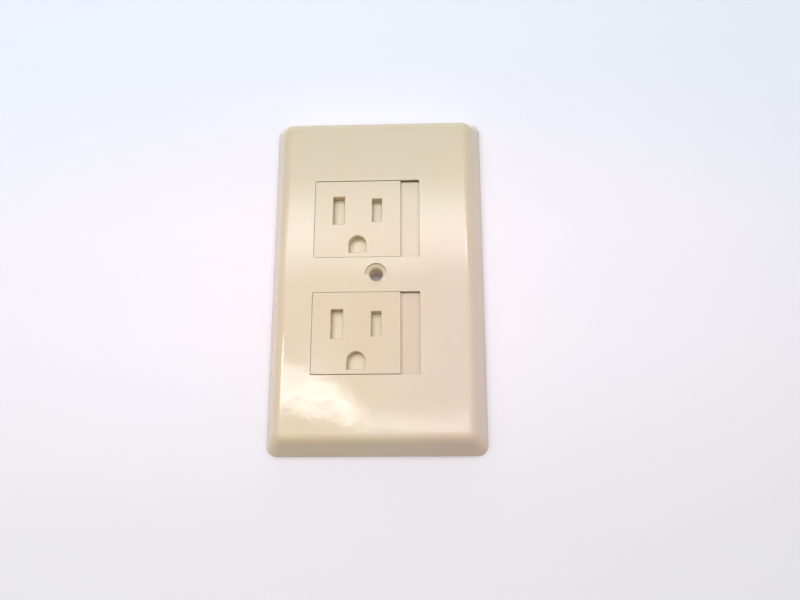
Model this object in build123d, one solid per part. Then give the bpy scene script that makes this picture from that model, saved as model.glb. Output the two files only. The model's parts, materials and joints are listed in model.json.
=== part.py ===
from build123d import *

import math
import os

# Self-closing cover plate for a duplex receptacle: a face plate, a rear plate, two
# sliding shutters, and the springs and screws between them.
# Frame, in millimetres: origin at the middle of the plate on the wall plane, +Z out
# of the front face, +Y towards the top, +X to the right seen from the front.

# ---- face plate --------------------------------------------------------------
PLATE_W, PLATE_H = 71.0, 115.8  # at the wall
PLATE_T = 10.0  # wall plane to front face
DRAFT = 22.1  # lean of the four outer side walls, degrees from the Z axis
CORNER_R = 3.7  # upright corners
FACE_R = 3.36  # round between the side walls and the front face
WALL_T = 1.8  # side wall at the wall plane
CEILING_Z = 9.0  # underside of the front skin
CAVITY_R = 1.9  # inside upright corners
CAVITY_TOP_R = 0.8
ROOT_Z = CEILING_Z + 0.2  # bosses and ribs are sunk this far into the skin

RIB_HALF_T = 0.4
RIB_XS = (-12.0, 0.0, 12.0)  # upright ribs behind the blank ends
RIB_Y0, RIB_Y1 = 37.5, 52.8
RIB_X_END = 30.4
RIB_Z0, SIDE_RIB_Z0 = 5.4, 5.0

# ---- outlets and windows -----------------------------------------------------
PITCH = 38.9  # between the two receptacle centres
Y_UP, Y_LO = PITCH / 2, -PITCH / 2
WIN_X0, WIN_X1 = -20.6, 14.35
WIN_UP, WIN_DN = 13.25, 13.8  # window edges above and below the receptacle centre
WIN_R = 0.35
LIP_T, LIP_RELIEF = 0.5, 0.55  # window lip, and how far its underside is cut back
LIP_OVERCUT = 0.4  # how far the bevel tool runs on below the skin
EDGE_R = 0.12  # small rounds on the moulded edges

# ---- shutters ----------------------------------------------------------------
TRAVEL = 6.15
PAD_X0, PAD_X1 = -20.53, 8.05
PAD_H = 26.79
PAD_TOP = 9.95
PAD_R = 0.3
SLAB_Z0, SLAB_Z1 = 6.95, 8.55
SLAB_X0, SLAB_X1 = -27.7, 19.5
SLAB_H = 29.4
SLAB_R, SLAB_CHAMFER = 0.8, 0.25
NOTCH_X0, NOTCH_X1 = PAD_X1 + 0.25, 15.4  # notches in the slab's long edges
Y_PAD_UP = Y_UP - 0.345  # the upper shutter sits low in its window, the lower one high
Y_PAD_LO = Y_LO - 0.205
TAB_T, TAB_HALF_H = 1.2, 2.3  # spring tabs under the right end of the slab
TAB_Z0, TAB_Z1 = 4.6, SLAB_Z1 - 0.4
SHOULDER_HALF_H, SHOULDER_Z0, SHOULDER_INSET = 2.9, 6.2, 0.1

# Blade openings, placed from the receptacle centre.
SLOT_X = 6.35  # half the blade spacing
NEUTRAL_UP, NEUTRAL_H = 7.52, 9.73  # top of the opening above the centre, and height
HOT_UP, HOT_H = 6.7, 8.16
GROUND_UP, GROUND_DN = -6.35, -12.15
SHUTTER_SLOT_WIDTHS = (3.85, 3.2, 5.8)  # neutral, hot, ground
REAR_SLOT_WIDTHS = (3.3, 2.8, 5.4)
SLOT_EDGE_R = 0.3

# ---- rear plate --------------------------------------------------------------
REAR_W, REAR_H, REAR_R = 62.6, 107.6, 2.6
REAR_Z0, REAR_Z1 = 3.0, 4.2
FLOOR_Z = 6.75  # top of the raised floors behind the shutters
RECESS_Z = 5.9  # how far the receptacle face may stand off the wall
RECESS_W, RECESS_H, RECESS_R = 34.6, 29.0, 3.0
FLOOR_WALL_T = 0.8  # wall around each recess
RECESS_FLARE = 0.55  # widening per side at the rear mouth of each recess
RAIL_X0, RAIL_X1 = -29.2, 28.6
RAIL_T, RAIL_GAP = 0.85, 0.18
RAIL_BREAK_X = 5.4  # half the break around the centre boss
RAIL_Z1 = CEILING_Z - 0.35
RUNNER_X0, RUNNER_X1, RUNNER_Y = -28.9, -17.0, 9.0  # ribs left of each recess
REAR_RIB_Z0, REAR_RIB_Z1 = REAR_Z0 - 1.6, REAR_Z0 + 0.2
MARK_R, MARK_DEPTH = 1.6, 0.12
MARKS = [(x, y) for y in (30.0, 9.0, -9.0, -30.0) for x in (-25.5, 25.5)]
MARKS += [(0.0, 44.5), (0.0, -44.5)]

# ---- fasteners ---------------------------------------------------------------
CORNER_SCREW_X, CORNER_SCREW_Y = 24.5, 46.0
SIDE_SCREW_X, SIDE_SCREW_Y = 22.5, -0.5
SCREWS = [
    (side * x, y)
    for x, y in (
        (CORNER_SCREW_X, CORNER_SCREW_Y),
        (SIDE_SCREW_X, SIDE_SCREW_Y),
        (CORNER_SCREW_X, -CORNER_SCREW_Y),
    )
    for side in (-1, 1)
]
BOSS_R = 2.4
PILOT_R, PILOT_TOP = 0.9, 8.1
THREAD_R = 1.12
SHANK_CLEAR_R = 1.35
SCREW_SEAT_Z = REAR_Z0 - 0.35  # rear of the pads under the retaining screw heads
SCREW_PAD_R = 2.7

CENTRE_BOSS_R, CENTRE_BOSS_Z0 = 4.05, 5.7
SLEEVE_R, SLEEVE_Z0 = 3.3, 1.4  # the boss goes on as a sleeve through the rear plate
SCREW_PASS_R = 3.6  # hole in the rear plate around that sleeve
BORE_R = 2.17
HEAD_R, HEAD_DEPTH = 3.52, 1.0  # round pocket the screw head sinks into
SEAT_R, SEAT_DROP = 2.75, 0.08  # shallow ring around the countersink
MOUTH_DROP = 0.5  # depth of the countersink below the ring

# ---- springs -----------------------------------------------------------------
SPRING_Y = 9.4  # springs above and below each shutter's own centre line
SPRING_Z = 6.5
SPRING_R = 1.66  # coil centre line
WIRE_R = 0.14
SPRING_GAP = 0.02
SPIGOT_R = 1.15
POST_X0, POST_X1 = 29.0, 29.9
POST_HALF_H, POST_Z1 = 2.4, 8.1
CRADLE_X0, CRADLE_Y, CRADLE_HALF_T, CRADLE_Z1 = 26.4, 2.6, 0.4, 6.6

ON_BASE = Align.CENTER, Align.CENTER, Align.MIN


# ---- shared shapes -----------------------------------------------------------
def block(x0, x1, y0, y1, z0, z1):
    """Box between two corners; x and y may be given in either order."""
    size = abs(x1 - x0), abs(y1 - y0), z1 - z0
    return Pos((x0 + x1) / 2, (y0 + y1) / 2, z0) * Box(*size, align=ON_BASE)


def rod(x, y, z0, z1, radius):
    return Pos(x, y, z0) * Cylinder(radius, z1 - z0, align=ON_BASE)


def cone(x, y, z0, z1, low_r, high_r):
    return Pos(x, y, z0) * Cone(low_r, high_r, z1 - z0, align=ON_BASE)


def along_x(x, y, shape):
    """Turn an upright shape to point along +X, on a spring's height."""
    return Pos(x, y, SPRING_Z) * Rot(0, 90, 0) * shape


def rounded_plate(width, height, radius, z0, z1, x=0.0, y=0.0):
    return extrude(Pos(x, y, z0) * RectangleRounded(width, height, radius), z1 - z0)


def drafted(width, height, z0, z1):
    """Block whose sides lean in by DRAFT, width by height at the wall plane."""
    lean = math.tan(math.radians(DRAFT))
    return loft(
        [
            Pos(0, 0, z) * Rectangle(width - 2 * z * lean, height - 2 * z * lean)
            for z in (z0, z1)
        ]
    )


def round_upright(body, radius):
    """Round the corner edges that climb in z."""
    return fillet([e for e in body.edges() if abs((e % 0.5).Z) > 0.55], radius)


def edges_at(body, z):
    return [e for e in body.edges() if abs(e.center().Z - z) < 1e-3]


def is_level(edge):
    box = edge.bounding_box()
    return abs(box.max.Z - box.min.Z) < 1e-3


def is_circle(edge):
    return edge.geom_type == GeomType.CIRCLE


def blade_openings(x, y, widths, z0, z1):
    """Cutting tools for the neutral, hot and ground openings around (x, y)."""
    neutral_w, hot_w, ground_w = widths
    neutral_x, hot_x = x - SLOT_X, x + SLOT_X
    neutral_top, hot_top = y + NEUTRAL_UP, y + HOT_UP
    ground_r = ground_w / 2
    arc_y = y + GROUND_UP - ground_r  # the ground opening has its round end up
    return [
        block(neutral_x - neutral_w / 2, neutral_x + neutral_w / 2,
              neutral_top - NEUTRAL_H, neutral_top, z0, z1),
        block(hot_x - hot_w / 2, hot_x + hot_w / 2, hot_top - HOT_H, hot_top, z0, z1),
        block(x - ground_r, x + ground_r, y + GROUND_DN, arc_y, z0, z1)
        + rod(x, arc_y, z0, z1, ground_r),
    ]


# ---- face plate --------------------------------------------------------------
def hollow_shell():
    shell = round_upright(drafted(PLATE_W, PLATE_H, 0, PLATE_T), CORNER_R)
    shell = fillet(shell.faces().sort_by(Axis.Z)[-1].edges(), FACE_R)

    cavity = drafted(PLATE_W - 2 * WALL_T, PLATE_H - 2 * WALL_T, -1.0, CEILING_Z)
    cavity = round_upright(cavity, CAVITY_R)
    cavity = fillet(cavity.faces().sort_by(Axis.Z)[-1].edges(), CAVITY_TOP_R)
    return shell - cavity


def add_bosses_and_ribs(face):
    # centre boss and its sleeve, then bosses for the retaining screws
    face += cone(0, 0, CENTRE_BOSS_Z0, ROOT_Z, CENTRE_BOSS_R - 0.25, CENTRE_BOSS_R)
    face += cone(0, 0, SLEEVE_Z0, CENTRE_BOSS_Z0 + 0.2, SLEEVE_R - 0.1, SLEEVE_R)
    for x, y in SCREWS:
        face += cone(x, y, REAR_Z1, ROOT_Z, BOSS_R - 0.1, BOSS_R + 0.15)

    # thin ribs behind the blank ends, tied into the corner bosses
    for side in (-1, 1):
        for x in RIB_XS:
            face += block(x - RIB_HALF_T, x + RIB_HALF_T,
                          side * RIB_Y0, side * RIB_Y1, RIB_Z0, ROOT_Z)
        for y in (side * CORNER_SCREW_Y, side * RIB_Y0):
            face += block(-RIB_X_END, RIB_X_END, y - RIB_HALF_T, y + RIB_HALF_T,
                          RIB_Z0, ROOT_Z)
    # ribs from the side bosses outwards
    for side in (-1, 1):
        face += block(side * SIDE_SCREW_X, side * RIB_X_END,
                      SIDE_SCREW_Y - RIB_HALF_T, SIDE_SCREW_Y + RIB_HALF_T,
                      SIDE_RIB_Z0, ROOT_Z)

    # pilot holes with a flared rear mouth
    for x, y in SCREWS:
        face -= rod(x, y, REAR_Z1 - 1, PILOT_TOP, PILOT_R)
        face -= cone(x, y, REAR_Z1 - 0.5, REAR_Z1 + 0.5, PILOT_R + 0.8, PILOT_R)
    return face


def cut_window(face, y_outlet):
    width, height = WIN_X1 - WIN_X0, WIN_UP + WIN_DN
    x, y = (WIN_X0 + WIN_X1) / 2, y_outlet + (WIN_UP - WIN_DN) / 2
    face -= rounded_plate(width, height, WIN_R, CEILING_Z - 1.0, PLATE_T + 1, x, y)

    # bevel the underside of the lip, so a sliding shutter never catches on it
    lip_z = PLATE_T - LIP_T
    skin_drop = lip_z - CEILING_Z
    drop = skin_drop + LIP_OVERCUT
    grow = LIP_RELIEF * drop / skin_drop
    low = RectangleRounded(width + 2 * grow, height + 2 * grow, WIN_R + grow)
    high = RectangleRounded(width, height, WIN_R)
    return face - loft([Pos(x, y, lip_z - drop) * low, Pos(x, y, lip_z) * high])


def cut_centre_hole(face):
    """Bore, ring, countersink and head pocket for the plate's own screw."""
    pocket_z = PLATE_T - HEAD_DEPTH
    ring_z = pocket_z - SEAT_DROP
    face -= rod(0, 0, -1, PLATE_T + 1, BORE_R)
    face -= cone(0, 0, ring_z, pocket_z, SEAT_R, HEAD_R)
    face -= cone(0, 0, ring_z - MOUTH_DROP, ring_z, BORE_R, SEAT_R)
    face -= rod(0, 0, pocket_z, PLATE_T + 1, HEAD_R)
    # flare at the rear end of the sleeve
    face -= cone(0, 0, SLEEVE_Z0 - 0.8, SLEEVE_Z0 + 0.2, BORE_R + 1.0, BORE_R)
    return face


def face_plate():
    face = add_bosses_and_ribs(hollow_shell())
    for y_outlet in (Y_UP, Y_LO):
        face = cut_window(face, y_outlet)
    face = cut_centre_hole(face)

    # soften the window mouths, leaving out the screw pocket and the outer outline
    mouths = [
        e
        for e in edges_at(face, PLATE_T)
        if is_level(e)
        and -22 < e.center().X < 16
        and abs(e.center().Y) < 35
        and not (is_circle(e) and e.radius > 1)
    ]
    face = fillet(mouths, EDGE_R)
    # then the screw pocket
    rim = [
        e for e in edges_at(face, PLATE_T) if is_circle(e) and abs(e.radius - HEAD_R) < 1e-3
    ]
    face = fillet(rim, EDGE_R)
    face.label = "face_plate"
    return face


# ---- shutters ----------------------------------------------------------------
def shutter(y_pad, y_outlet, label):
    """Thin slab under the front skin, with a raised pad that fills most of the
    window, three blade slots, and two tabs the springs push on."""
    slab = rounded_plate(SLAB_X1 - SLAB_X0, SLAB_H, SLAB_R, SLAB_Z0, SLAB_Z1,
                         (SLAB_X0 + SLAB_X1) / 2, y_pad)
    slab = chamfer(edges_at(slab, SLAB_Z0), SLAB_CHAMFER)
    # the strip beside the pad is no taller than the pad
    for side in (-1, 1):
        slab -= block(NOTCH_X0, NOTCH_X1,
                      y_pad + side * PAD_H / 2, y_pad + side * (SLAB_H / 2 + 1),
                      SLAB_Z0 - 1, SLAB_Z1 + 1)
    pad = rounded_plate(PAD_X1 - PAD_X0, PAD_H, PAD_R, SLAB_Z1 - 0.2, PAD_TOP,
                        (PAD_X0 + PAD_X1) / 2, y_pad)
    body = slab + fillet(edges_at(pad, PAD_TOP), EDGE_R)

    # spring tabs, each with a tapered guide spigot and a wider shoulder at its root
    tab_x0 = SLAB_X1 - TAB_T
    for side in (-1, 1):
        y = y_pad + side * SPRING_Y
        body += block(tab_x0, SLAB_X1, y - TAB_HALF_H, y + TAB_HALF_H, TAB_Z0, TAB_Z1)
        body += along_x(SLAB_X1 - 0.2, y, Cylinder(SPIGOT_R, 1.0, align=ON_BASE))
        body += along_x(SLAB_X1 + 0.8, y, Cone(SPIGOT_R, 0.8, 0.35, align=ON_BASE))
        body += block(tab_x0 + SHOULDER_INSET, SLAB_X1 - SHOULDER_INSET,
                      y - SHOULDER_HALF_H, y + SHOULDER_HALF_H, SHOULDER_Z0, TAB_Z1)

    # at rest the slots stand to the left of the blades by the travel
    x_slot = -TRAVEL
    for tool in blade_openings(x_slot, y_outlet, SHUTTER_SLOT_WIDTHS,
                               SLAB_Z0 - 1, PAD_TOP + 1):
        body -= tool
    # these limits enclose the slots but not the pad's own outline
    rims = [
        e
        for e in edges_at(body, PAD_TOP)
        if is_level(e)
        and x_slot - 9 < e.center().X < x_slot + 8.6
        and y_outlet - 12.6 < e.center().Y < y_outlet + 7.6
    ]
    body = fillet(rims, SLOT_EDGE_R)
    body.label = label
    return body


# ---- rear plate --------------------------------------------------------------
def add_rails(rear):
    """Rails above and below each slab, broken around the centre boss."""
    for y_pad in (Y_PAD_UP, Y_PAD_LO):
        for side in (-1, 1):
            y = y_pad + side * (SLAB_H / 2 + RAIL_GAP)
            spans = [(RAIL_X0, RAIL_X1)]
            if abs(y) < 8:
                spans = [(RAIL_X0, -RAIL_BREAK_X), (RAIL_BREAK_X, RAIL_X1)]
            for x0, x1 in spans:
                rear += block(x0, x1, y, y + side * RAIL_T, REAR_Z0, RAIL_Z1)
    return rear


def add_spring_post(rear, y):
    rear += block(POST_X0, POST_X1, y - POST_HALF_H, y + POST_HALF_H, REAR_Z0, POST_Z1)
    rear += along_x(POST_X0 - 0.9, y, Cylinder(SPIGOT_R, 1.1, align=ON_BASE))
    # shallow cradle walls beside the spring
    for side in (-1, 1):
        wall_y = y + side * CRADLE_Y
        rear += block(CRADLE_X0, POST_X1, wall_y - CRADLE_HALF_T, wall_y + CRADLE_HALF_T,
                      REAR_Z0, CRADLE_Z1)
    return rear


def cut_recess(rear, y):
    """Receptacle recess with a flared rear mouth, and the openings in its floor."""
    rear -= rounded_plate(RECESS_W, RECESS_H, RECESS_R, REAR_Z0 - 1, RECESS_Z, 0, y)
    mouth = RectangleRounded(
        RECESS_W + 2 * RECESS_FLARE, RECESS_H + 2 * RECESS_FLARE, RECESS_R + RECESS_FLARE
    )
    throat = RectangleRounded(RECESS_W, RECESS_H, RECESS_R)
    rear -= loft([Pos(0, y, REAR_Z0 - 0.2) * mouth, Pos(0, y, REAR_Z0 + 0.35) * throat])
    for tool in blade_openings(0, y, REAR_SLOT_WIDTHS, RECESS_Z - 0.5, FLOOR_Z + 1):
        rear -= tool
    return rear


def rear_plate():
    rear = rounded_plate(REAR_W, REAR_H, REAR_R, REAR_Z0, REAR_Z1)
    # raised floors
    for y in (Y_UP, Y_LO):
        rear += rounded_plate(RECESS_W + 2 * FLOOR_WALL_T, RECESS_H + 2 * FLOOR_WALL_T,
                              RECESS_R + 0.5, REAR_Z0, FLOOR_Z, 0, y)
    rear = add_rails(rear)
    # two ribs left of each recess carry the slab's left end
    for y_pad in (Y_PAD_UP, Y_PAD_LO):
        for side in (-1, 1):
            y = y_pad + side * RUNNER_Y
            rear += block(RUNNER_X0, RUNNER_X1, y - 0.5, y + 0.5, REAR_Z0, FLOOR_Z)
    for y_pad in (Y_PAD_UP, Y_PAD_LO):
        for side in (-1, 1):
            rear = add_spring_post(rear, y_pad + side * SPRING_Y)
    for y in (Y_UP, Y_LO):
        rear = cut_recess(rear, y)

    # centre sleeve and retaining screws pass through
    rear -= rod(0, 0, REAR_Z0 - 1, FLOOR_Z + 3, SCREW_PASS_R)
    for x, y in SCREWS:
        rear += rod(x, y, SCREW_SEAT_Z, REAR_Z1 - 0.01, SCREW_PAD_R)
        rear -= rod(x, y, REAR_Z0 - 1, REAR_Z1 + 0.5, SHANK_CLEAR_R)

    # stiffening ribs on the rear of the blank ends
    for side in (-1, 1):
        for x in (-10.0, 10.0):
            rear += block(x - 0.5, x + 0.5, side * 37.0, side * 52.6,
                          REAR_RIB_Z0, REAR_RIB_Z1)
        for y in (36.5, 51.8):
            rear += block(-29.0, 29.0, side * y, side * (y + 1.0),
                          REAR_RIB_Z0, REAR_RIB_Z1)

    # shallow round marks left by the ejector pins
    for x, y in MARKS:
        rear -= rod(x, y, REAR_Z0 - 0.5, REAR_Z0 + MARK_DEPTH, MARK_R)
    rear.label = "rear_plate"
    return rear


# ---- springs and screws ------------------------------------------------------
def spring(y):
    """Closed-end compression coil along X between a shutter tab and its post."""
    x0 = SLAB_X1 + SPRING_GAP + WIRE_R
    x1 = POST_X0 - SPRING_GAP - WIRE_R
    dead, live = 1.0, 4.5  # closed turns at each end, working turns between
    turns = 2 * dead + live
    closed_pitch = 2 * WIRE_R * 1.12
    pitch = (x1 - x0 - 2 * dead * closed_pitch) / live
    steps = 14  # points per turn
    points = []
    for i in range(int(turns * steps) + 1):
        turn = i / steps
        if turn < dead:
            x = x0 + turn * closed_pitch
        elif turn > turns - dead:
            x = x1 - (turns - turn) * closed_pitch
        else:
            x = x0 + dead * closed_pitch + (turn - dead) * pitch
        angle = 2 * math.pi * turn
        points.append(
            (x, y + SPRING_R * math.cos(angle), SPRING_Z + SPRING_R * math.sin(angle))
        )
    path = Spline(*points)
    wire = Plane(origin=path @ 0, z_dir=path % 0) * Circle(WIRE_R)
    return sweep(wire, path=path, is_frenet=True)


def screw(x, y):
    """Self-tapping pan head screw, tip towards +Z, ridged shank, cross recess."""
    seat = SCREW_SEAT_Z
    head_r, head_h = 2.0, 1.3
    tip = 7.7
    core_r = PILOT_R - 0.14
    head_z = seat - head_h
    # (radius, z) up the outside, from the head to the tip
    outline = [
        (0, head_z),
        (head_r * 0.55, head_z),
        (head_r * 0.86, seat - head_h * 0.78),
        (head_r, seat - head_h * 0.42),
        (head_r, seat),
        (core_r + 0.12, seat),
        (core_r, seat + 0.15),
    ]
    z = seat + 0.7
    while z < tip - 1.2:
        outline += [
            (core_r, z), (THREAD_R, z + 0.17), (THREAD_R, z + 0.23), (core_r, z + 0.4)
        ]
        z += 0.75
    outline += [(core_r, tip - 0.8), (0.25, tip), (0, tip)]
    body = revolve(make_face(Plane.XZ * Polyline(*outline, close=True)), axis=Axis.Z)
    for angle in (0, 90):
        arm = Box(2.1, 0.5, 0.8, align=ON_BASE)
        body -= Pos(0, 0, head_z - 0.01) * Rot(0, 0, angle) * arm
    return Pos(x, y, 0) * body


# ---- export ------------------------------------------------------------------
parts = {
    "face_plate": face_plate(),
    "rear_plate": rear_plate(),
    "upper_shutter": shutter(Y_PAD_UP, Y_UP, "upper_shutter"),
    "lower_shutter": shutter(Y_PAD_LO, Y_LO, "lower_shutter"),
}
for level, y_pad in (("upper", Y_PAD_UP), ("lower", Y_PAD_LO)):
    parts[f"spring_{level}_top"] = spring(y_pad + SPRING_Y)
    parts[f"spring_{level}_bottom"] = spring(y_pad - SPRING_Y)
for number, (x, y) in enumerate(SCREWS, start=1):
    parts[f"retaining_screw_{number}"] = screw(x, y)

os.makedirs("parts", exist_ok=True)
for name, part in parts.items():
    export_step(part, f"parts/{name}.step")
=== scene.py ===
# An ivory moulded plate with two sprung shutters and zinc plated small parts, lying on a
# table top. X runs across the plate, Y along it and Z up. Its CAD pieces get procedural
# materials, and modelled coils stand in for the four springs. Lengths are in metres.
import bpy, bmesh, json, math
from functools import reduce
from mathutils import Matrix, Vector

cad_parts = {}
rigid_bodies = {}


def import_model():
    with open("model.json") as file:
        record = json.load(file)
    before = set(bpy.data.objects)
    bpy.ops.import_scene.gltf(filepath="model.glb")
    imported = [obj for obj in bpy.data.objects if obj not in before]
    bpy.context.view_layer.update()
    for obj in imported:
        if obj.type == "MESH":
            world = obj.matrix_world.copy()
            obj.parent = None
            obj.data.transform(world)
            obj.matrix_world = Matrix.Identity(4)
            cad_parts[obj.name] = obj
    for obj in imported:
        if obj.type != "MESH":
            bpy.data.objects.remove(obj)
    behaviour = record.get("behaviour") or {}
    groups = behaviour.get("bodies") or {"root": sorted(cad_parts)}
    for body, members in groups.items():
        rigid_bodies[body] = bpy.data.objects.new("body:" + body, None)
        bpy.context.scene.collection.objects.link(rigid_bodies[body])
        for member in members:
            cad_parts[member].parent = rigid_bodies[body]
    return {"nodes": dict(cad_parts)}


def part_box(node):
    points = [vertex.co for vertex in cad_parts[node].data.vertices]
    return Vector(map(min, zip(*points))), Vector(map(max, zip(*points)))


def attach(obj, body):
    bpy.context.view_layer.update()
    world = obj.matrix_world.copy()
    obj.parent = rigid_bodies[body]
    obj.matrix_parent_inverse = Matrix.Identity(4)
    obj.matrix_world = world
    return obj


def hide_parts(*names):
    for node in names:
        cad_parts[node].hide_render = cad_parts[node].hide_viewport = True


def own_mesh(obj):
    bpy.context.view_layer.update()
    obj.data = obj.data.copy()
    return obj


MM = 0.001

# springs
WIRE_RADIUS = 0.14 * MM
END_TURNS = 1.0  # closed turns at each end
LIVE_TURNS = 4.5
CLOSED_PITCH = 2 * WIRE_RADIUS * 1.12  # pitch where the turns nearly touch
PITCH_BLEND = 0.25  # turns on each side of a pitch change over which it is eased
TIP_SCALE = 0.72  # wire thickness at its tips, as a share of the full one
TIP_TURNS = 0.3  # length of the thinned tip, in turns
WIRE_SIDES = 14
STEPS_PER_TURN = 56

# table top
FLOOR_HALF = 1.6
FLOOR_CELLS = 24
FLOOR_Z = -0.0003

# overhead lights
PANEL_Z = 0.61

for leftover in list(bpy.data.objects):
    bpy.data.objects.remove(leftover, do_unlink=True)
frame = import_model()
bpy.context.view_layer.update()


# ------------------------------------------------------------------ shader graphs
class Graph:
    """Node tree of a material or world, emptied and filled through short methods.
    Values may be numbers, RGB colours or the output sockets of other nodes."""

    def __init__(self, owner):
        owner.use_nodes = True
        self.tree = owner.node_tree
        self.tree.nodes.clear()

    def node(self, kind, inputs=None, **attributes):
        made = self.tree.nodes.new("ShaderNode" + kind)
        for key, value in attributes.items():
            setattr(made, key, value)
        for key, value in (inputs or {}).items():
            socket = made.inputs[key]
            if isinstance(value, bpy.types.NodeSocket):
                self.tree.links.new(value, socket)
            elif socket.type == "RGBA":
                socket.default_value = (*value, 1.0)
            else:
                socket.default_value = value
        return made

    def coords(self, kind="Object"):
        return self.node("TexCoord").outputs[kind]

    def uv(self, layer):
        return self.node("UVMap", uv_map=layer).outputs[0]

    def xyz(self, vector):
        return list(self.node("SeparateXYZ", {0: vector}).outputs)

    def stretched(self, vector, scale, turn=0.0):
        inputs = {"Vector": vector, "Rotation": (0, 0, turn), "Scale": scale}
        return self.node("Mapping", inputs).outputs[0]

    def math(self, operation, a, b=0.0, clamp=False):
        return self.node("Math", {0: a, 1: b}, operation=operation, use_clamp=clamp).outputs[0]

    def add(self, a, b, clamp=False):
        return self.math("ADD", a, b, clamp)

    def mul(self, a, b):
        return self.math("MULTIPLY", a, b)

    def noise(self, vector, scale, detail=3.0, rough=0.5, distortion=0.0):
        inputs = {"Vector": vector, "Scale": scale, "Detail": detail}
        inputs.update({"Roughness": rough, "Distortion": distortion})
        return self.node("TexNoise", inputs).outputs["Fac"]

    def remap(self, value, span, to=(0.0, 1.0), smooth=False):
        """Map the range span onto the range to, held at both ends."""
        inputs = {"Value": value, "From Min": span[0], "From Max": span[1]}
        inputs.update({"To Min": to[0], "To Max": to[1]})
        easing = "SMOOTHSTEP" if smooth else "LINEAR"
        made = self.node("MapRange", inputs, interpolation_type=easing, clamp=True)
        return made.outputs["Result"]

    def mix(self, share, a, b, blend="MIX"):
        inputs = {0: share, 6: a, 7: b}
        return self.node("Mix", inputs, data_type="RGBA", blend_type=blend).outputs[2]

    def tinted(self, share, colour, tint):
        """Multiply colour by tint where share is high."""
        return self.mix(share, colour, self.mix(1.0, colour, tint, "MULTIPLY"))

    def occlusion(self, distance):
        return self.node("AmbientOcclusion", {"Distance": distance}, samples=6).outputs["AO"]

    def bump(self, height, distance, strength=1.0, normal=None):
        inputs = {"Height": height, "Strength": strength, "Distance": distance}
        if normal is not None:
            inputs["Normal"] = normal
        return self.node("Bump", inputs).outputs["Normal"]

    def output(self, shader, kind="OutputMaterial"):
        self.node(kind, {"Surface": shader.outputs[0]})

    def principled(self, inputs):
        self.output(self.node("BsdfPrincipled", inputs))

    def glow(self, colour, strength):
        """Emission that lets other light through."""
        emission = self.node("Emission", {"Color": colour, "Strength": strength})
        clear = self.node("BsdfTransparent")
        self.output(self.node("AddShader", {0: emission.outputs[0], 1: clear.outputs[0]}))


def new_material(name):
    material = bpy.data.materials.new(name)
    return material, Graph(material)


# ------------------------------------------------------------------ ivory plastic
def scaled(colour, *factors):
    return tuple(part * factor for part, factor in zip(colour, factors))


def ivory_colour(g, co, base):
    """Cloudy and flecked, with painted tints of the light: greener towards +Y, pinker low on
    the right, and darker, warmer painted shade on the -Y end wall.
    """
    cloud = g.noise(co, scale=34.0, distortion=0.4)
    fleck = g.noise(co, scale=2600.0, detail=2.0, rough=0.6)
    light = scaled(base, 1.008, 1.018, 1.04)
    deep = scaled(base, 0.992, 0.975, 0.945)
    c = g.mix(g.remap(cloud, span=(0.35, 0.65)), deep, light)
    c = g.mix(g.remap(fleck, span=(0.3, 0.7), to=(0.0, 0.35)), c, base)
    x, y, _ = g.xyz(co)
    # painted tint of cool light: a little greener towards the +Y end, along a cloudy border
    border = g.remap(cloud, span=(0.3, 0.7), to=(-0.008, 0.008))
    top = g.remap(g.add(y, border), span=(0.012, 0.05))
    c = g.tinted(top, c, (0.87, 0.935, 0.945))
    # painted tint of warm light: a little pinker low on the right
    rightward = g.remap(x, span=(0.0, 0.025))
    right = g.mul(rightward, g.remap(y, span=(0.0, 0.025), to=(1.0, 0.0)))
    c = g.tinted(right, c, (0.985, 0.945, 1.035))
    # painted shade on the end wall at -Y, a little darker and warmer
    end_wall_shade = g.remap(y, span=(-0.0548, -0.0535), to=(1.0, 0.0))
    return g.tinted(end_wall_shade, c, (0.95, 0.955, 0.925))


def crevice_shade_and_dirt(g, co, crevice):
    """Share of painted shade where surfaces meet, broken into patches like grime: a faint wide
    halo and a dark core.
    """
    openness = g.occlusion(0.0008)
    halo = g.remap(openness, span=(0.1, 0.6), to=(crevice, 0.0))
    core = g.remap(openness, span=(0.05, 0.32), to=(0.5, 0.0))
    patches = g.remap(g.noise(co, scale=420.0), span=(0.25, 0.7), to=(0.55, 1.0))
    return g.mul(g.add(halo, core, clamp=True), patches)


def hairlines(g, co):
    """Mask of fine scratches in three directions."""
    masks = []
    for turn, scale in ((0.5, 700.0), (-0.95, 560.0), (1.9, 620.0)):
        along = g.stretched(co, scale=(1.0, 22.0, 1.0), turn=turn)
        scratch = g.noise(along, scale=scale, detail=2.0, rough=0.7)
        masks.append(g.remap(scratch, span=(0.7, 0.76)))
    return reduce(lambda a, b: g.math("MAXIMUM", a, b), masks)


def ivory_roughness(g, co, rough, haze, hair, dirt_and_shade):
    """Handling haze, rubbed patches, scratches, and dulling under the crevice mask of grime
    and painted shade.
    """
    breath = g.noise(co, scale=95.0, detail=5.0, rough=0.6)
    patches = g.noise(co, scale=21.0, rough=0.6, distortion=0.6)
    rubbed = g.remap(patches, span=(0.5, 0.68), to=(0.0, 0.035 * haze))
    r = g.add(g.remap(breath, span=(0.3, 0.7), to=(rough * 0.85, rough * 1.2)), rubbed)
    r = g.add(r, g.mul(hair, 0.05))
    glossy_limit, glossy_cap = 0.24, 0.243  # glossier pieces stay below the cap when clean
    if rough < glossy_limit:
        r = g.math("MINIMUM", r, glossy_cap)
    return g.add(r, g.mul(dirt_and_shade, 0.4), clamp=True)


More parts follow.
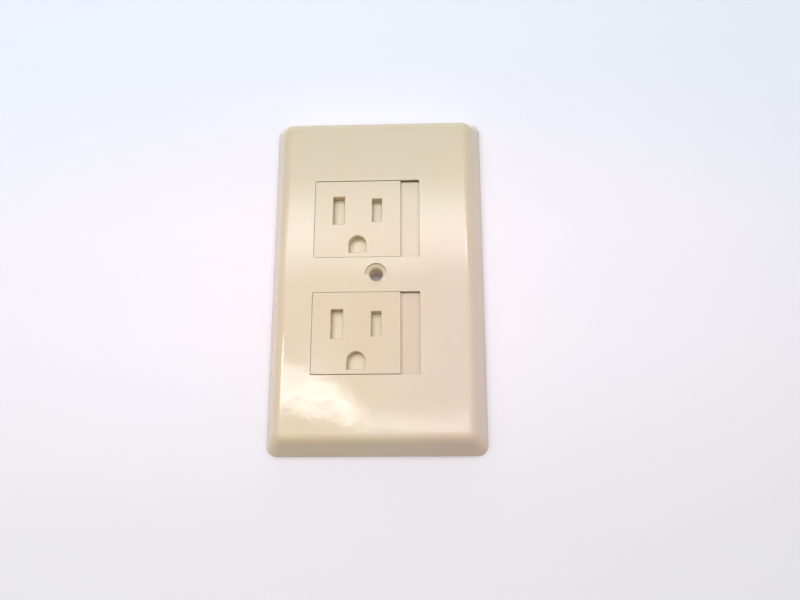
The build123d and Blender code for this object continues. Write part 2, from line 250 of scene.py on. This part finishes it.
def ivory_relief(g, co, wave, hair, grain):
    """Slow sink of the moulded skin, orange peel in two sizes, scratches and grain."""
    slow = g.noise(co, scale=38.0, detail=1.0, rough=0.4)
    normal = g.bump(slow, distance=0.00012 * wave)
    peel = g.noise(co, scale=330.0, detail=1.0)
    normal = g.bump(peel, distance=0.000013, normal=normal)
    fine = g.noise(co, scale=1000.0, detail=1.0)
    normal = g.bump(fine, distance=0.0000058, normal=normal)
    normal = g.bump(hair, distance=0.000004, strength=0.15, normal=normal)
    if grain:
        spark = g.noise(co, scale=5200.0, rough=0.65)
        normal = g.bump(spark, distance=0.00002, strength=0.6, normal=normal)
    return normal


def ivory(name, base, rough, wave=1.0, grain=False, scatter=0.4, crevice=0.14, haze=1.0):
    """Injection moulded ivory. wave scales the slow relief, crevice is the strength of
    the wide halo of painted shade and grime, and haze scales the rubbed patches."""
    material, g = new_material(name)
    co = g.coords()
    colour = ivory_colour(g, co, base)
    dirt_and_shade = crevice_shade_and_dirt(g, co, crevice)
    hair = hairlines(g, co)
    g.principled({
        # painted shade and grime darken the colour in crevices
        "Base Color": g.mix(dirt_and_shade, colour, scaled(base, 0.42, 0.34, 0.24)),
        "Roughness": ivory_roughness(g, co, rough, haze, hair, dirt_and_shade),
        "IOR": 1.53,
        "Normal": ivory_relief(g, co, wave, hair, grain),
        "Subsurface Weight": scatter,
        "Subsurface Radius": (1.0, 0.72, 0.42),
        "Subsurface Scale": 0.0018,
    })
    return material


# ------------------------------------------------------------------ metals
def steel_wire(name):
    """Drawn spring wire: fine lengthways lines and a little straw tint."""
    material, g = new_material(name)
    co = g.coords()
    lines = g.stretched(g.uv("wire"), scale=(1.0, 34.0, 1.0))
    drawn = g.noise(lines, scale=6.0, detail=4.0, rough=0.6)
    straw = g.remap(g.noise(co, scale=480.0, rough=0.6), span=(0.35, 0.7))
    g.principled({
        "Base Color": g.mix(straw, (0.60, 0.60, 0.58), (0.47, 0.43, 0.36)),
        "Metallic": 1.0,
        "Roughness": g.remap(drawn, span=(0.3, 0.7), to=(0.2, 0.42)),
        "Normal": g.bump(drawn, distance=0.000008, strength=0.5),
    })
    return material


def zinc(name):
    """Zinc plating: cloudy passivate with a trace of yellow, and painted shade darkening the
    recesses.
    """
    material, g = new_material(name)
    co = g.coords()
    cloud = g.noise(co, scale=1400.0, detail=4.0, rough=0.6)
    c = g.mix(g.remap(cloud, span=(0.35, 0.68)), (0.63, 0.64, 0.66), (0.55, 0.52, 0.42))
    # painted shade, near black deep in the recesses
    recess_shade = g.remap(g.occlusion(0.0006), span=(0.2, 0.8), to=(0.75, 0.0))
    speckle = g.noise(co, scale=3500.0)
    g.principled({
        "Base Color": g.mix(recess_shade, c, (0.12, 0.115, 0.1)),
        "Metallic": 1.0,
        "Roughness": g.remap(speckle, span=(0.3, 0.7), to=(0.24, 0.44)),
        "Normal": g.bump(cloud, distance=0.00001, strength=0.3),
    })
    return material


plastics = {
    "face_plate": ivory("ivory_face", base=(0.757, 0.622, 0.465), rough=0.034, haze=0.5),
    "upper_shutter": ivory(
        "ivory_shutter_upper", base=(0.737, 0.606, 0.447), rough=0.19, wave=0.6
    ),
    "lower_shutter": ivory(
        "ivory_shutter_lower", base=(0.72, 0.575, 0.417), rough=0.19, wave=0.6
    ),
    # lighter base than the other pieces, which also paints light onto the slot floors
    "rear_plate": ivory(
        "ivory_rear", base=(0.84, 0.72, 0.55), rough=0.32, wave=0.4,
        grain=True, scatter=0.45, crevice=0.08,
    ),
}
wire = steel_wire("spring_wire_drawn")
plated = zinc("zinc_plate")
for node_name, piece in frame["nodes"].items():
    metal = wire if node_name.startswith("spring") else plated
    for material_slot in piece.material_slots:
        material_slot.material = plastics.get(node_name, metal)


# ------------------------------------------------------------------ mesh helpers
def mesh_from(bm, name):
    mesh = bpy.data.meshes.new(name)
    bm.to_mesh(mesh)
    bm.free()
    return mesh


def add_object(name, mesh, material):
    made = bpy.data.objects.new(name, mesh)
    bpy.context.scene.collection.objects.link(made)
    mesh.materials.append(material)
    return made


# ------------------------------------------------------------------ springs
def eased_ramp(u):
    """0 below zero and u above it, with the corner rounded off."""
    if u <= -PITCH_BLEND:
        return 0.0
    if u >= PITCH_BLEND:
        return u
    return (u + PITCH_BLEND) ** 2 / (4 * PITCH_BLEND)


def coil_mesh(name, low, high):
    """Coil along X that fills the box from low to high."""
    centre_y, centre_z = (low.y + high.y) / 2, (low.z + high.z) / 2
    radius = (high.y - low.y) / 2 - WIRE_RADIUS
    start, end = low.x + WIRE_RADIUS, high.x - WIRE_RADIUS
    turns = 2 * END_TURNS + LIVE_TURNS
    pitch = (end - start - 2 * END_TURNS * CLOSED_PITCH) / LIVE_TURNS
    steps = int(turns * STEPS_PER_TURN)

    def centre(turn):
        live = eased_ramp(turn - END_TURNS) - eased_ramp(turn - (turns - END_TURNS))
        x = start + (turn - live) * CLOSED_PITCH + live * pitch
        angle = 2 * math.pi * turn
        y = centre_y + radius * math.cos(angle)
        return Vector((x, y, centre_z + radius * math.sin(angle)))

    bm = bmesh.new()
    uv_layer = bm.loops.layers.uv.new("wire")
    nudge = 0.002  # turns to either side, for the direction of the wire
    rings = []
    for i in range(steps + 1):
        turn = i / STEPS_PER_TURN
        middle = centre(turn)
        ahead, behind = centre(min(turns, turn + nudge)), centre(max(0.0, turn - nudge))
        along = (ahead - behind).normalized()
        angle = 2 * math.pi * turn
        out = Vector((0, math.cos(angle), math.sin(angle)))
        side = along.cross(out).normalized()
        from_tip = min(i, steps - i) / (STEPS_PER_TURN * TIP_TURNS)
        thickness = WIRE_RADIUS * min(1.0, TIP_SCALE + (1 - TIP_SCALE) * from_tip)
        ring = []
        for k in range(WIRE_SIDES):
            around = 2 * math.pi * k / WIRE_SIDES
            offset = out * math.cos(around) + side * math.sin(around)
            ring.append(bm.verts.new(middle + offset * thickness))
        rings.append(ring)
    for i in range(steps):
        for k in range(WIRE_SIDES):
            corners = ((i, k), (i, k + 1), (i + 1, k + 1), (i + 1, k))
            face = bm.faces.new([rings[u][v % WIRE_SIDES] for u, v in corners])
            face.smooth = True
            for loop, (u, v) in zip(face.loops, corners):
                loop[uv_layer].uv = (u / STEPS_PER_TURN, v / WIRE_SIDES)
    bm.faces.new(list(reversed(rings[0])))
    bm.faces.new(rings[-1])
    bmesh.ops.recalc_face_normals(bm, faces=bm.faces)
    return mesh_from(bm, name)


def add_coil(shutter, end):
    """Coil in place of a CAD spring, squashed towards its +X end by the shutter."""
    name, spring = f"coil_{shutter}_{end}", f"spring_{shutter}_{end}"
    low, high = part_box(spring)
    coil = add_object(name, coil_mesh(name, low, high), wire)
    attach(coil, "plate")
    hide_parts(spring)
    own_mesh(coil)


for shutter in ("upper", "lower"):
    for end in ("top", "bottom"):
        add_coil(shutter, end)


# ------------------------------------------------------------------ floor
def floor_glow(g, co, y):
    """Colour and strength of the light that comes through around the origin."""
    distance = g.node("VectorMath", {0: co, 1: (0.0, 0.0, 0.0)}, operation="DISTANCE")
    disc = g.remap(distance.outputs["Value"], span=(0.0055, 0.007), to=(1.0, 0.0))
    along = g.stretched(co, scale=(1.0, 0.35, 1.0), turn=0.5)
    streaks = g.noise(along, scale=1700.0, detail=2.0, rough=0.6)
    strength = g.mul(disc, g.remap(streaks, span=(0.38, 0.62), to=(0.4, 1.5)))
    strength = g.mul(strength, g.remap(y, span=(0.0, 0.0028), to=(0.16, 0.03)))
    warmth = g.remap(y, span=(0.0015, 0.0035))
    return g.mix(warmth, (1.0, 0.985, 0.93), (1.0, 0.74, 0.48)), strength


def table_top():
    material, g = new_material("table_top")
    co = g.coords()
    x, y, _ = g.xyz(co)
    # painted cool window light: bluer towards +Y
    c = g.mix(g.remap(y, span=(-0.07, 0.07)), (0.80, 0.80, 0.85), (0.755, 0.815, 0.925))
    # the plate throws some of the overhead light onto the table beside it
    along = g.remap(g.math("ABSOLUTE", y), span=(0.02, 0.085), to=(1.0, 0.15))
    across = g.math("ABSOLUTE", g.add(x, 0.008))
    wash = g.mul(along, g.remap(across, span=(0.045, 0.16), to=(1.0, 0.4)))
    c = g.mix(wash, c, (0.935, 0.875, 0.97))
    # faint grey clouds
    cloud = g.remap(g.noise(co, scale=9.0), span=(0.3, 0.7), to=(0.0, 0.12))
    c = g.mix(cloud, c, (0.78, 0.78, 0.80))
    # painted contact shadow, darker where the plate touches
    contact_shadow = g.remap(g.occlusion(0.002), span=(0.3, 0.9), to=(0.45, 0.0))
    c = g.mix(contact_shadow, c, (0.42, 0.37, 0.31))
    glow_colour, glow = floor_glow(g, co, y)
    g.principled({
        "Base Color": c,
        "Roughness": 0.55,
        "IOR": 1.4,
        "Emission Color": glow_colour,
        "Emission Strength": glow,
    })
    return material


def add_floor():
    bm = bmesh.new()
    places = [FLOOR_HALF * (2 * i / FLOOR_CELLS - 1) for i in range(FLOOR_CELLS + 1)]
    rows = [[bm.verts.new((x, y, FLOOR_Z)) for x in places] for y in places]
    for row, following in zip(rows, rows[1:]):
        for i in range(FLOOR_CELLS):
            bm.faces.new((row[i], row[i + 1], following[i + 1], following[i]))
    add_object("floor", mesh_from(bm, "floor"), table_top())


add_floor()


# ------------------------------------------------------------------ light
def flat(x, y, z):
    """Corners of a level panel over the ranges x and y."""
    return [(x[0], y[0], z), (x[0], y[1], z), (x[1], y[1], z), (x[1], y[0], z)]


def panel_mesh(name, corners):
    mesh = bpy.data.meshes.new(name)
    mesh.from_pydata(corners, [], [(0, 1, 2, 3)])
    return mesh


def stage_panel(name, mesh, material):
    panel = add_object(name, mesh, material)
    panel.visible_camera = False


def soft_panel(name, corners, strength, tint, side_fade, depth_fade):
    """Softbox on four corners. The fades are the shares of its width and depth over
    which the brightness falls off at the start and at the end."""
    mesh = panel_mesh(name, corners)
    layer = mesh.uv_layers.new(name="panel")
    for loop, uv in zip(layer.data, ((0, 0), (0, 1), (1, 1), (1, 0))):
        loop.uv = uv
    material, g = new_material(name)
    edges = []
    for place, (lead, tail) in zip(g.xyz(g.uv("panel")), (side_fade, depth_fade)):
        edges.append(g.remap(place, span=(0.0, lead), smooth=True))
        edges.append(g.remap(place, span=(1.0 - tail, 1.0), to=(1.0, 0.0), smooth=True))
    g.glow(tint, g.mul(reduce(g.mul, edges), strength))
    stage_panel(name, mesh, material)


def wedge_brightness(g):
    co = g.coords()
    x, y, _ = g.xyz(co)
    wobble = g.remap(
        g.noise(co, scale=95.0, rough=0.6), span=(0.3, 0.7), to=(-0.004, 0.004)
    )
    # near edge: level on the right, climbing to the left from level_end up to most_climb
    level_end, slope, most_climb, level_y = -0.044, -0.25, 0.031, 0.0055
    climb = g.math("MAXIMUM", g.mul(g.add(x, -level_end), slope), 0.0)
    near_y = g.add(g.math("MINIMUM", climb, most_climb), level_y)
    inward = g.add(g.math("SUBTRACT", y, near_y), wobble)
    # distance from the near edge to the far one, broader on the left in two steps
    reach = g.remap(x, span=(-0.088, -0.048), to=(0.057, 0.027))
    reach = g.add(reach, g.remap(x, span=(-0.24, -0.15), to=(0.035, 0.0)))
    far_fade = g.remap(x, span=(-0.10, -0.062), to=(0.020, 0.031))
    far_side = g.math("DIVIDE", g.math("SUBTRACT", reach, inward), far_fade, clamp=True)
    # the near edge is softer on the wide side
    near_fade = g.remap(x, span=(-0.11, -0.06), to=(0.022, 0.012))
    near_side = g.remap(g.math("DIVIDE", inward, near_fade), span=(-0.5, 0.5), smooth=True)
    left_end = g.remap(x, span=(-0.56, -0.40), smooth=True)
    right_end = g.math("SUBTRACT", 1.0, g.remap(x, span=(0.06, 0.10), smooth=True))
    dimmer_right = g.remap(x, span=(-0.085, -0.066), to=(1.0, 0.72))
    # flecks, strongest on the wide side
    fleck_co = g.stretched(co, scale=(1.0, 2.5, 1.0))
    flecks = g.noise(fleck_co, scale=56.0, detail=4.0, rough=0.68, distortion=0.3)
    flecks = g.remap(flecks, span=(0.43, 0.59), to=(0.4, 1.6))
    share = g.remap(x, span=(-0.10, 0.0), to=(1.0, 0.3))
    shade = g.add(g.mul(flecks, share), g.math("SUBTRACT", 1.0, share))
    return reduce(g.mul, (near_side, far_side, left_end, right_end, dimmer_right, shade))


def wedge_panel(name, strength, tint):
    """Overhead opening, broad on the left and narrow on the right, seen through a
    broken-up shade."""
    mesh = panel_mesh(name, flat(x=(-0.56, 0.11), y=(-0.03, 0.16), z=PANEL_Z))
    material, g = new_material(name)
    g.glow(tint, g.mul(wedge_brightness(g), strength))
    stage_panel(name, mesh, material)


soft_panel(
    "panel_band", flat(x=(-0.62, 0.52), y=(0.170, 0.314), z=PANEL_Z),
    strength=3.95, tint=(0.93, 0.955, 1.03), side_fade=(0.25, 0.25), depth_fade=(0.43, 0.51),
)
# shorter lamp to the right, which only the rounded edge picks up
soft_panel(
    "panel_edge", flat(x=(0.06, 0.34), y=(0.198, 0.254), z=0.608),
    strength=2.8, tint=(0.96, 0.96, 1.0), side_fade=(0.2, 0.2), depth_fade=(0.4, 0.4),
)
wedge_panel("panel_wedge", strength=8.0, tint=(0.95, 0.97, 1.0))
# leaning window beyond the +Y end of the plate
soft_panel(
    "window", [(-0.5, 0.9, 0.25), (-0.5, 0.75, 0.62), (0.35, 0.75, 0.62), (0.35, 0.9, 0.25)],
    strength=1.9, tint=(0.86, 0.94, 1.0), side_fade=(0.25, 0.25), depth_fade=(0.25, 0.25),
)


def studio_world():
    """Bright overhead, dim towards -Y, with lighter sides and a warm patch high at -Y."""
    world = bpy.data.worlds.new("studio")
    bpy.context.scene.world = world
    g = Graph(world)
    x, y, z = g.xyz(g.coords("Generated"))
    over = g.remap(z, span=(0.76, 0.97), to=(0.29, 2.35), smooth=True)
    away = g.remap(y, span=(-0.9, 0.2), to=(0.1, 1.0))
    right = g.remap(x, span=(0.35, 0.9), to=(0.0, 0.5))
    sides = g.add(right, g.remap(x, span=(-0.9, -0.35), to=(0.35, 0.0)))
    sides = g.mul(sides, g.remap(y, span=(-0.8, -0.3), to=(0.3, 1.0)))
    near = g.remap(y, span=(-0.6, -0.1), to=(1.0, 0.0))
    near = g.mul(near, g.remap(z, span=(0.45, 0.8)))
    near_strength, overall_strength = 0.55, 0.91
    level = g.add(g.mul(over, away), sides)
    level = g.add(level, g.mul(near, near_strength))
    cream = g.remap(y, span=(-0.9, -0.2), to=(0.7, 0.0))
    tone = g.mix(cream, (0.99, 0.99, 1.0), (0.98, 0.93, 0.80))
    tone = g.mix(near, tone, (1.0, 0.84, 0.4))
    background = {"Color": tone, "Strength": g.mul(level, overall_strength)}
    g.output(g.node("Background", background), kind="OutputWorld")


studio_world()

# ------------------------------------------------------------------ camera
# rows of the pose: the camera's right, up and backward axes, then its place
CAMERA_POSE = (
    (0.9991699303040327, 0.012138956499140584, 0.0388856800293694, 0.01749389164),
    (-0.0016074805997141723, 0.9655750673553275, -0.2601195980849507, -0.07346971929),
    (-0.04070462359924323, 0.25984117271299934, 0.9647930858898074, 0.2487621973),
    (0, 0, 0, 1),
)
camera_data = bpy.data.cameras.new("camera")
camera_data.sensor_width = 36.0
camera_data.lens = 34.5599067
camera_data.clip_start, camera_data.clip_end = 0.01, 20.0
camera = bpy.data.objects.new("camera", camera_data)
camera.matrix_world = Matrix(CAMERA_POSE)
scene = bpy.context.scene
scene.collection.objects.link(camera)
scene.camera = camera
scene.view_settings.view_transform = "Standard"
scene.view_settings.look = "None"
scene.view_settings.exposure = 0.0

bpy.context.view_layer.update()
